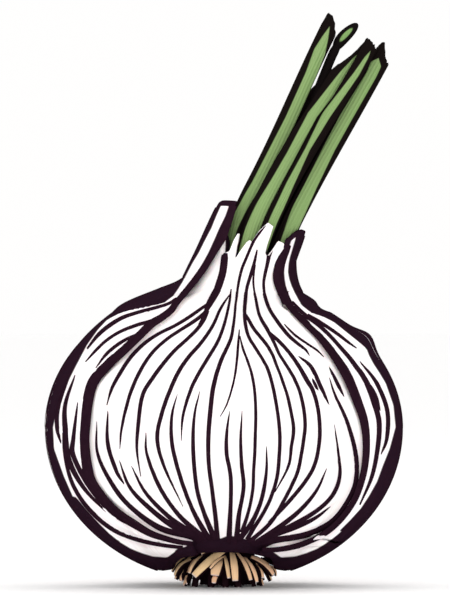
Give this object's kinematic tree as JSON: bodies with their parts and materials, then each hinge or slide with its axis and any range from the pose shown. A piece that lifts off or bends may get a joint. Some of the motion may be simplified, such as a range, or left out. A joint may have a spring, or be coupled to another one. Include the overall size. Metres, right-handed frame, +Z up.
{
  "type": "garlic bulb",
  "caption": "Round garlic bulb in papery skin on a trimmed root tuft, its neck leaning over into short cut green leaves.",
  "frame": {"origin": "middle of the flat cut end of the root tuft, where the bulb rests", "axes": "+Z up, -Y towards the viewer, +X to the right, the side that the neck leans to"},
  "size_m": [0.0648, 0.0623, 0.1046],
  "materials": {
    "garlic_skin": "satin",
    "dry_sheath": "satin",
    "green_leaf": "satin",
    "young_shoot": "satin",
    "dry_root": "matte"
  },
  "bodies": {
    "root": {"bulb": "garlic_skin", "outer_sheath_left": "dry_sheath", "outer_sheath_right": "dry_sheath", "leaf_left": "green_leaf", "leaf_front_left": "green_leaf", "leaf_front": "green_leaf", "leaf_right": "green_leaf", "leaf_back_left": "green_leaf", "leaf_back_right": "green_leaf", "inner_shoot": "young_shoot", "root_tuft": "dry_root"}
  },
  "joints": []
}
